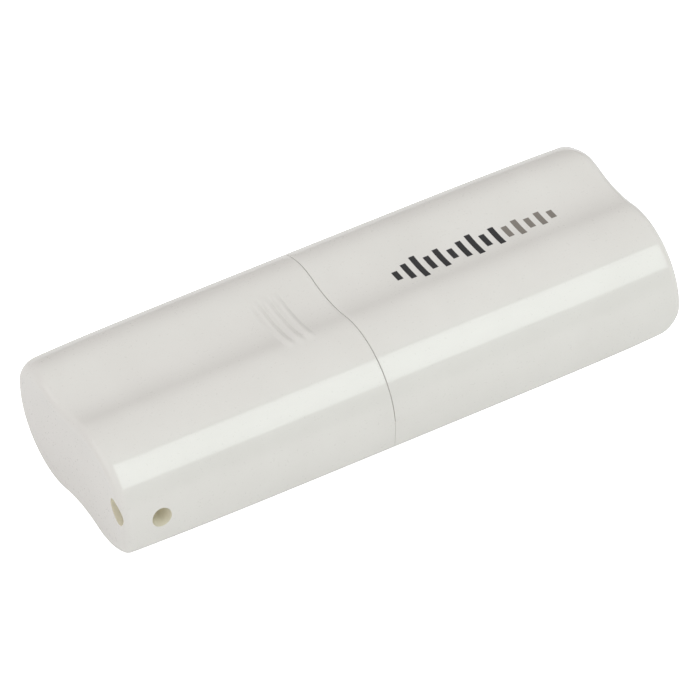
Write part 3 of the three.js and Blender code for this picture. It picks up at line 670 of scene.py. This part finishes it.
def rib_bump(ring):
    """How far the grip ribs raise each point of a ring; only the top surface has them."""
    raised = np.zeros(len(ring))
    on_top = ring[:, 2] > HEIGHT / 4
    along = (ring[:, 1] - RIB_Y) / RIB_HALF_LENGTH
    for i in range(RIB_COUNT):
        centre = SEAM_X + RIB_FIRST_X - i * RIB_PITCH
        across = (ring[:, 0] - centre) / RIB_HALF_WIDTH
        round_form = np.clip(1 - across**2, 0, 1) ** 1.5 * np.clip(1 - along**4, 0, 1)
        raised = np.maximum(raised, RIB_HEIGHT * round_form)
    return np.where(on_top, raised, 0)


def build_cap(pearl, raw_painted_glow):
    cap = made_of(pearl, cap_outside())
    for cutter in [cap_cavity(), *lanyard_tunnel()]:
        cut(cap, made_of(raw_painted_glow, cutter))
    finish_piece(cap, "cap_body", "cap")


def cap_outside():
    """The cap's outside with its grip ribs, where the rings lie closer together."""
    rib_high = SEAM_X + RIB_FIRST_X + RIB_PITCH
    rib_low = SEAM_X + RIB_FIRST_X - RIB_COUNT * RIB_PITCH
    stations = [
        *end_stations(CAP_END_X, CAP_CORNER_RADIUS, 1),
        *plain_stations(CAP_END_X + END_FILLET, rib_low, 0)[:-1],
        *plain_stations(rib_low, rib_high, 0, RIB_SPACING)[:-1],
        *plain_stations(rib_high, SEAM_X - SEAM_EDGE, 0, MOUTH_SPACING),
        *reversed(round_stations(SEAM_X, SEAM_EDGE, -1, steps=4)),
    ]
    return lofted("cap_shell", stations, rib_bump)


def cap_cavity():
    """The hollow of the cap, less the solid block around the tunnel."""
    cavity_end = CAP_END_X + WALL
    walls = plain_stations(cavity_end, SEAM_X + OVERRUN, WALL)
    cavity = lofted("cut", [(cavity_end, CAP_CORNER_RADIUS), *walls])
    block = box(
        "tunnel_block",
        (CAP_END_X - OVERRUN, -2 * HEIGHT, -HEIGHT),
        (SEAM_X + TUNNEL_BLOCK_X, TUNNEL_BLOCK_Y, HEIGHT),
    )
    return cut(cavity, block)


def lanyard_tunnel():
    """The solids that together make the tunnel from the end face round to the near side."""
    tunnel_x = SEAM_X + TUNNEL_SIDE_X
    end_elbow = (tunnel_x, TUNNEL_END_Y, TUNNEL_END_Z)
    side_elbow = (tunnel_x, TUNNEL_END_Y, TUNNEL_SIDE_Z)
    side_mouth = (tunnel_x, -2 * HEIGHT, TUNNEL_SIDE_Z)
    return [
        oval_rod("cut", (CAP_END_X - OVERRUN, tunnel_x)),
        rod("cut", side_mouth, side_elbow, TUNNEL_RADIUS),
        rod("cut", side_elbow, end_elbow, TUNNEL_RADIUS),
        ball("cut", end_elbow, TUNNEL_RADIUS),
        ball("cut", side_elbow, TUNNEL_RADIUS),
    ]


def oval_rod(name, x_range):
    """The part of the tunnel that opens in the cap's end face, an oval that leans over."""
    angles = 2 * math.pi * np.arange(ROUND_SEGMENTS) / ROUND_SEGMENTS
    across = TUNNEL_MOUTH_HALF_WIDTH * np.cos(angles)
    along = TUNNEL_MOUTH_HALF_LENGTH * np.sin(angles)
    cosine, sine = math.cos(TUNNEL_MOUTH_TILT), math.sin(TUNNEL_MOUTH_TILT)
    outline = np.column_stack(
        [
            TUNNEL_END_Y + cosine * across + sine * along,
            TUNNEL_END_Z - sine * across + cosine * along,
        ]
    )
    return prism_along_x(name, x_range, outline)


# The body's two shells.


def build_housing(name, seam_gap, pearl, raw_painted_glow):
    """Both shells in one, with their front edge seam_gap away from the cap."""
    front = SEAM_X + seam_gap
    housing = made_of(pearl, body_outside(name, front))
    join(housing, plug_collar(front))
    for cutter in [*body_hollows(front), *body_openings()]:
        cut(housing, made_of(raw_painted_glow, cutter))
    return housing


def body_outside(name, front):
    stations = [
        *round_stations(front, SEAM_EDGE, 1, steps=4),
        *plain_stations(front + SEAM_EDGE, JACK_END_X - END_FILLET, 0),
        *reversed(end_stations(JACK_END_X, JACK_LOW_CORNER_RADIUS, -1)),
    ]
    return lofted(name, stations)


def plug_collar(front):
    """The stepped-in stretch around the plug that the cap slides over."""
    start = SEAM_X - COLLAR_LENGTH
    stations = [
        *round_stations(start, COLLAR_EDGE, 1, COLLAR_INSET, steps=5),
        *plain_stations(start + COLLAR_EDGE, front + WALL / 2, COLLAR_INSET),
    ]
    return lofted("collar", stations)


def body_hollows(front):
    """The body's cavity and, in front of it, the narrower one of the collar."""
    cavity_end = JACK_END_X - WALL
    cavity_walls = plain_stations(front + WALL, cavity_end, WALL)
    collar_walls = plain_stations(
        SEAM_X - COLLAR_LENGTH + COLLAR_WALL,
        front + WALL + OVERRUN / 2,
        COLLAR_INSET + COLLAR_WALL,
    )
    return [
        lofted("cut", [*cavity_walls, (cavity_end, JACK_LOW_CORNER_RADIUS)]),
        lofted("cut", collar_walls),
    ]


def body_openings():
    """The window of the plug and the holes of the jack and the light."""
    through_collar = (SEAM_X - COLLAR_LENGTH - OVERRUN, SEAM_X)
    inside = JACK_END_X - 2 * WALL
    outside = JACK_END_X + OVERRUN
    return [
        plug_prism("cut", through_collar, -PLUG_WINDOW_GAP, PLUG_CORNER),
        rod(
            "cut",
            (inside, JACK_Y, JACK_Z),
            (outside, JACK_Y, JACK_Z),
            BUSHING_RADIUS + BUSHING_GAP,
            FINE_SEGMENTS,
        ),
        rod(
            "cut",
            (inside, LIGHT_Y, LIGHT_Z),
            (outside, LIGHT_Y, LIGHT_Z),
            LIGHT_PIPE_RADIUS + LIGHT_PIPE_GAP,
        ),
    ]


def plug_prism(name, x_range, inset, radius):
    """A bar along X of the plug's size, moved in by inset, with rounded long edges."""
    half_size = (PLUG_HIGH.y - inset, PLUG_HIGH.z - inset)
    return prism_along_x(name, x_range, rounded_rectangle((0, 0), half_size, radius))


def layer(z_low, z_high):
    """Everything between two heights, wide enough to hold the whole stick."""
    reach = 2 * (JACK_END_X - CAP_END_X)
    return box("layer", (-reach, -reach, z_low), (reach, reach, z_high))


def posts(z_low, z_high, radius):
    return [
        rod("post", (SEAM_X + x, y, z_low), (SEAM_X + x, y, z_high), radius, POST_SEGMENTS)
        for x, y in POST_PLACES
    ]


def posts_within_walls(z_low, z_high):
    """Posts that end inside the wall that they stand on."""
    trimmed = []
    for post in posts(z_low, z_high, POST_RADIUS):
        start = SEAM_X + OVERRUN
        inside = lofted("inside", plain_stations(start, JACK_END_X - 2 * WALL, WALL / 2))
        trimmed.append(keep_within(post, inside))
    return trimmed


def build_shells(pearl, raw_painted_glow):
    upper = build_housing("upper_housing", UPPER_SEAM_GAP, pearl, raw_painted_glow)
    lower = build_housing("lower_housing", LOWER_SEAM_GAP, pearl, raw_painted_glow)
    keep_within(upper, made_of(raw_painted_glow, layer(PARTING_Z + PARTING_GAP / 2, HEIGHT)))
    keep_within(lower, made_of(raw_painted_glow, layer(-HEIGHT, PARTING_Z - PARTING_GAP / 2)))
    for post in posts_within_walls(BOARD_HIGH.z, HEIGHT):
        join(upper, made_of(raw_painted_glow, post))
    pins = posts(BOARD_LOW.z - OVERRUN, BOARD_HIGH.z, PIN_RADIUS)
    for post in [*posts_within_walls(-HEIGHT, BOARD_LOW.z), *pins]:
        join(lower, made_of(raw_painted_glow, post))
    finish_piece(upper, "receiver_body", "upper_shell")
    finish_piece(lower, "receiver_body", "lower_shell")


def build_mark(dark, pale):
    """Bars of ink that follow the top surface."""
    for i, height in enumerate(MARK_HEIGHTS):
        start = SEAM_X + MARK_START_X + i * MARK_PITCH
        half_length = height * MARK_TALLEST / 2
        bar = ink_bar(f"mark_bar_{i + 1}", (start, start + MARK_BAR_WIDTH), half_length)
        ink = dark if i < MARK_DARK_BARS else pale
        finish_piece(made_of(ink, bar), "receiver_body", None)


def ink_bar(name, x_range, half_length, steps=7):
    """A thin bar across the stick, half sunk into the surface."""
    rungs = []
    for y in np.linspace(MARK_Y - half_length, MARK_Y + half_length, steps + 1):
        for x in x_range:
            rungs.append((x, y, top_at(x, y)))
    count = len(rungs)
    vertices = [(x, y, z + lift) for lift in (-MARK_INK, MARK_INK) for x, y, z in rungs]
    faces = [(0, 1, count + 1, count), (count - 2, 2 * count - 2, 2 * count - 1, count - 1)]
    for a in range(0, count - 2, 2):
        faces.append((a, a + 2, a + 3, a + 1))
        faces.append((count + a, count + a + 1, count + a + 3, count + a + 2))
        faces.append((a, count + a, count + a + 2, a + 2))
        faces.append((a + 1, a + 3, count + a + 3, count + a + 1))
    bar = mesh_object(name, vertices, faces)
    make_outward(bar)
    return bar


# The USB plug's shell.


def build_plug_shell(material):
    start = PLUG_LOW.x
    half_y, half_z = PLUG_HIGH.y, PLUG_HIGH.z
    ear_start = SEAM_X + PLUG_REAR_X
    shell = plug_prism("plug_sheet", (start, ear_start), 0, PLUG_CORNER)
    through = (start - OVERRUN, ear_start + OVERRUN)
    cut(shell, plug_prism("cut", through, PLUG_SHEET, PLUG_CORNER - PLUG_SHEET))
    for side in (-1, 1):
        outside = side * half_y
        inside = outside - side * PLUG_SHEET
        ear = box(
            "ear",
            (ear_start - OVERRUN, min(outside, inside), -half_z + PLUG_CORNER),
            (PLUG_HIGH.x, max(outside, inside), half_z - PLUG_CORNER),
        )
        join(shell, ear)
        cut(shell, latch_hole(side * LATCH_HOLE_Y))
    sheet_joint = box(
        "cut",
        (start - OVERRUN, -PLUG_JOINT_WIDTH / 2, -half_z - OVERRUN),
        (ear_start + OVERRUN, PLUG_JOINT_WIDTH / 2, -half_z + PLUG_SHEET / 2),
    )
    cut(shell, sheet_joint)
    round_edges(shell, PLUG_SHEET_EDGE)
    finish_piece(made_of(material, shell), "receiver_body", "usb_plug_shell")


def latch_hole(y):
    """A rounded square hole through both broad sides of the plug's shell."""
    centre = (SEAM_X + LATCH_HOLE_X, y)
    half_size = (LATCH_HOLE_LENGTH / 2, LATCH_HOLE_WIDTH / 2)
    outline = rounded_rectangle(centre, half_size, LATCH_HOLE_CORNER, steps=4)
    return prism_along_z("cut", (-HEIGHT / 2, HEIGHT / 2), outline)


# The jack's bushing and the light pipe.


def build_bushing(material):
    back, front = BUSHING_LOW.x, BUSHING_HIGH.x
    outer_edge = [
        (
            front - BUSHING_EDGE * (1 - math.sin(angle)),
            BUSHING_RADIUS - BUSHING_EDGE * (1 - math.cos(angle)),
        )
        for angle in quarter_turn(6)
    ]
    lead_in = [
        (
            front - BUSHING_LEAD_IN * (1 - math.cos(angle)),
            JACK_BORE_RADIUS + BUSHING_LEAD_IN * (1 - math.sin(angle)),
        )
        for angle in quarter_turn(6)
    ]
    profile = [(back, JACK_BORE_RADIUS), (back, BUSHING_RADIUS), *outer_edge, *lead_in]
    bushing = lathe("bushing", profile, (0, JACK_Y, JACK_Z), (1, 0, 0), FINE_SEGMENTS)
    finish_piece(made_of(material, bushing), "receiver_body", "jack_bushing")


def build_light_pipe(material):
    back, front = PIPE_LOW.x, PIPE_HIGH.x
    flange_radius = (PIPE_HIGH.y - PIPE_LOW.y) / 2
    flange_front = JACK_END_X - WALL
    dome_start = front - LIGHT_PIPE_DOME
    dome = [
        (dome_start + LIGHT_PIPE_DOME * math.sin(angle), LIGHT_PIPE_RADIUS * math.cos(angle))
        for angle in quarter_turn(8)[:-1]
    ]
    flange = [(back, flange_radius), (flange_front, flange_radius)]
    profile = [(back, 0), *flange, (flange_front, LIGHT_PIPE_RADIUS), *dome, (front, 0)]
    pipe = lathe("light_window", profile, (0, LIGHT_Y, LIGHT_Z), (1, 0, 0))
    finish_piece(made_of(material, pipe), "receiver_body", "light_pipe")


# CAD nodes whose shape stays.


def dress(names, material, edge):
    """Gives CAD nodes rounded edges and a finished material."""
    for name in names:
        round_edges(made_of(material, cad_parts[name]), edge)


def dress_inner_parts():
    gold = contact_gold()
    dress([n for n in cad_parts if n.startswith("usb_contact")], gold, 0.03 * MM)
    ivory = moulded("plug_ivory", (0.74, 0.72, 0.66), (0.8, 0.78, 0.73))
    dress(["usb_plug_tongue"], ivory, 0.12 * MM)
    dress(["circuit_board"], board_mask(), 0.04 * MM)
    black = moulded("chip_black", (0.012, 0.012, 0.014), (0.025, 0.025, 0.028))
    dress(["bluetooth_chip", "memory_chip", "voltage_regulator"], black, 0.03 * MM)
    ferrite = moulded("ferrite", (0.03, 0.03, 0.032), (0.06, 0.06, 0.062), 0.12 * MM)
    dress(["power_inductor"], ferrite, 0.12 * MM)
    dress(["crystal"], nickel(), 0.15 * MM)
    white = moulded("antenna_white", (0.72, 0.72, 0.7), (0.84, 0.84, 0.82), 0.15 * MM)
    dress(["chip_antenna", "status_led"], white, 0.05 * MM)
    tan = moulded("capacitor_tan", (0.34, 0.24, 0.14), (0.45, 0.34, 0.22), 0.1 * MM)
    small = [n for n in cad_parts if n.startswith("bypass_capacitor")]
    dress([*small, "usb_fuse", "antenna_inductor"], tan, 0.05 * MM)
    ochre = moulded("tantalum_ochre", (0.58, 0.32, 0.06), (0.7, 0.42, 0.1), 0.2 * MM)
    dress(["supply_capacitor", "output_capacitor_left", "output_capacitor_right"], ochre, 0.08 * MM)
    jack_black = moulded("jack_black", (0.014, 0.014, 0.015), (0.03, 0.03, 0.032), 0.2 * MM)
    dress(["jack_housing"], jack_black, 0.08 * MM)
    springs = ["jack_tip_contact", "jack_ring_contact", "jack_sleeve_contact"]
    dress(springs, nickel(), 0.03 * MM)


# The studio.

# The camera.
CAMERA_AZIMUTH = math.radians(-31.04)
CAMERA_ELEVATION = math.radians(42.447)
CAMERA_DISTANCE = 967.4 * MM
CAMERA_LENS = 403.8  # millimetres, as is the sensor's width
CAMERA_SENSOR = 36
AIM_RIGHT = 1.408 * MM  # from the middle of the seam to the point that the camera aims at
AIM_UP = 0.058 * MM

# The floor.
FLOOR_REACH = 3.0
FLOOR_COLOUR = (0.87, 0.87, 0.87, 1)
FLOOR_GLOW = 0.05
FLOOR_LIFT = 0.75  # the further glow that only the camera sees

# The softboxes.
SOFTBOX_DISTANCE = 0.8
FRONT_LIGHT_SLIDE = 0.33
END_LIGHT_SLIDE = -0.1
FRONT_LIGHT_COLOUR = (0.9, 0.985, 0.95, 1)
END_LIGHT_COLOUR = (0.96, 0.97, 0.96, 1)

# The room darkens between two cosines of the angle from the camera's level view direction. The
# second is past 1, so the room never gets quite as dark as its far colour.
ROOM_NEAR_COLOUR = (0.79, 0.77, 0.77, 1)
ROOM_FAR_COLOUR = (0.25, 0.235, 0.23, 1)
ROOM_FAR_START = 0.66
ROOM_FAR_END = 1.05


def toward_camera():
    """The unit vector from the stick towards the camera."""
    flat = math.cos(CAMERA_ELEVATION)
    return Vector(
        (
            math.sin(CAMERA_AZIMUTH) * flat,
            -math.cos(CAMERA_AZIMUTH) * flat,
            math.sin(CAMERA_ELEVATION),
        )
    )


def add_camera():
    back = toward_camera()
    right = Vector((math.cos(CAMERA_AZIMUTH), math.sin(CAMERA_AZIMUTH), 0))
    up = back.cross(right)
    target = Vector((SEAM_X, 0, 0)) + right * AIM_RIGHT + up * AIM_UP
    data = bpy.data.cameras.new("camera")
    data.lens = CAMERA_LENS
    data.sensor_width = CAMERA_SENSOR
    data.clip_start = 0.01
    data.clip_end = 20
    camera = bpy.data.objects.new("camera", data)
    bpy.context.scene.collection.objects.link(camera)
    camera.location = target + back * CAMERA_DISTANCE
    camera.rotation_euler = back.to_track_quat("Z", "Y").to_euler()
    bpy.context.scene.camera = camera


def add_floor():
    """A pale floor under the stick."""
    corners = [(-1, -1), (1, -1), (1, 1), (-1, 1)]
    floor = mesh_object(
        "floor", [(x * FLOOR_REACH, y * FLOOR_REACH, FLOOR_Z) for x, y in corners], [(0, 1, 2, 3)]
    )
    floor.data.materials.append(floor_white())


def floor_white():
    """White that glows a little, and far more to the camera, which sees it as pure white."""
    shader = Shader("floor_white")
    shader.set(Base_Color=FLOOR_COLOUR, Roughness=0.9, Specular_IOR_Level=0)
    shader.set(Emission_Color=(1, 1, 1, 1))
    path = shader.nodes.new("ShaderNodeLightPath")
    lift = shader.nodes.new("ShaderNodeMath")
    lift.operation = "MULTIPLY_ADD"
    lift.inputs[1].default_value = FLOOR_LIFT
    lift.inputs[2].default_value = FLOOR_GLOW
    shader.links.new(path.outputs["Is Camera Ray"], lift.inputs[0])
    shader.links.new(lift.outputs["Value"], shader.surface.inputs["Emission Strength"])
    return shader.material


def add_softbox(name, facing, across, slide, low, high, width, colour, strength, fade):
    """A glowing panel square to the stick, between two elevations as seen along across.

    It stands in the direction facing, slid sideways along across. The elevations low and high
    are in degrees. fade is the share of the panel's height over which its light fades at its
    upper edge.
    """
    tilt = math.radians((low + high) / 2)
    half_height = SOFTBOX_DISTANCE * math.tan(math.radians((high - low) / 2))
    upright = Vector((0, 0, 1))
    away = facing * math.cos(tilt) + upright * math.sin(tilt)
    up = upright * math.cos(tilt) - facing * math.sin(tilt)
    centre = away * SOFTBOX_DISTANCE + across * slide
    corners = []
    for v, u in [(-1, -1), (-1, 1), (1, 1), (1, -1)]:
        corners.append(centre + across * width / 2 * u + up * half_height * v)
    panel = mesh_object(name, corners, [(0, 1, 2, 3)])
    panel_map = panel.data.uv_layers.new(name="panel")
    for loop, place in zip(panel_map.data, [(0, 0), (1, 0), (1, 1), (0, 1)]):
        loop.uv = place
    panel.data.materials.append(fading_glow(name, colour, strength, fade))
    panel.visible_camera = False


def fading_glow(name, colour, strength, fade):
    """Light that fades out towards the top of the panel's own coordinates."""
    material = bpy.data.materials.new(name)
    material.use_nodes = True
    nodes, links = material.node_tree.nodes, material.node_tree.links
    nodes.clear()
    output = nodes.new("ShaderNodeOutputMaterial")
    glow = nodes.new("ShaderNodeEmission")
    glow.inputs["Color"].default_value = colour
    place = nodes.new("ShaderNodeTexCoord")
    split = nodes.new("ShaderNodeSeparateXYZ")
    level = nodes.new("ShaderNodeMapRange")
    level.interpolation_type = "SMOOTHSTEP"
    level.inputs["From Min"].default_value = 1 - fade
    level.inputs["From Max"].default_value = 1
    level.inputs["To Min"].default_value = strength
    level.inputs["To Max"].default_value = 0
    links.new(place.outputs["UV"], split.inputs["Vector"])
    links.new(split.outputs["Y"], level.inputs["Value"])
    links.new(level.outputs["Result"], glow.inputs["Strength"])
    links.new(glow.outputs["Emission"], output.inputs["Surface"])
    return material


def add_lights():
    """A large softbox in front over a grey card, and a dimmer softbox off the cap's end."""
    add_softbox(
        "front_softbox",
        facing=Vector((0, -1, 0)),
        across=Vector((1, 0, 0)),
        slide=FRONT_LIGHT_SLIDE,
        low=30,
        high=71,
        width=0.52,
        colour=FRONT_LIGHT_COLOUR,
        strength=2.5,
        fade=0.15,
    )
    add_softbox(
        "grey_card",
        facing=Vector((0, -1, 0)),
        across=Vector((1, 0, 0)),
        slide=FRONT_LIGHT_SLIDE,
        low=2,
        high=29,
        width=0.6,
        colour=FRONT_LIGHT_COLOUR,
        strength=0.5,
        fade=0.02,
    )
    add_softbox(
        "end_softbox",
        facing=Vector((-1, 0, 0)),
        across=Vector((0, -1, 0)),
        slide=END_LIGHT_SLIDE,
        low=22,
        high=72,
        width=0.8,
        colour=END_LIGHT_COLOUR,
        strength=1.22,
        fade=0.3,
    )


def set_world():
    """An even pale room that darkens towards the side away from the camera."""
    world = bpy.data.worlds.new("studio")
    world.use_nodes = True
    nodes, links = world.node_tree.nodes, world.node_tree.links
    away = nodes.new("ShaderNodeVectorMath")
    away.operation = "DOT_PRODUCT"
    away.inputs[1].default_value = (-math.sin(CAMERA_AZIMUTH), math.cos(CAMERA_AZIMUTH), 0)
    links.new(nodes.new("ShaderNodeTexCoord").outputs["Generated"], away.inputs[0])
    farness = nodes.new("ShaderNodeMapRange")
    farness.interpolation_type = "SMOOTHSTEP"
    farness.inputs["From Min"].default_value = ROOM_FAR_START
    farness.inputs["From Max"].default_value = ROOM_FAR_END
    links.new(away.outputs["Value"], farness.inputs["Value"])
    mix = nodes.new("ShaderNodeMix")
    mix.data_type = "RGBA"
    mix.inputs["A"].default_value = ROOM_NEAR_COLOUR
    mix.inputs["B"].default_value = ROOM_FAR_COLOUR
    links.new(farness.outputs["Result"], mix.inputs["Factor"])
    links.new(mix.outputs["Result"], nodes["Background"].inputs["Color"])
    bpy.context.scene.world = world
    bpy.context.scene.view_settings.view_transform = "Standard"


pearl = pearl_plastic()
# The uncoated inner plastic, coloured lighter and yellower as a painted glow of light shining
# through the walls.
raw_painted_glow = raw_plastic_painted_glow()
build_cap(pearl, raw_painted_glow)
build_shells(pearl, raw_painted_glow)
ink_dark = printed_ink("ink_dark", (0.012, 0.012, 0.014), (0.022, 0.022, 0.024))
ink_grey = printed_ink("ink_grey", (0.21, 0.19, 0.165), (0.25, 0.225, 0.2))
build_mark(ink_dark, ink_grey)
build_plug_shell(plug_steel())
build_bushing(nickel())
build_light_pipe(clear_plastic())
dress_inner_parts()

add_camera()
add_floor()
add_lights()
set_world()
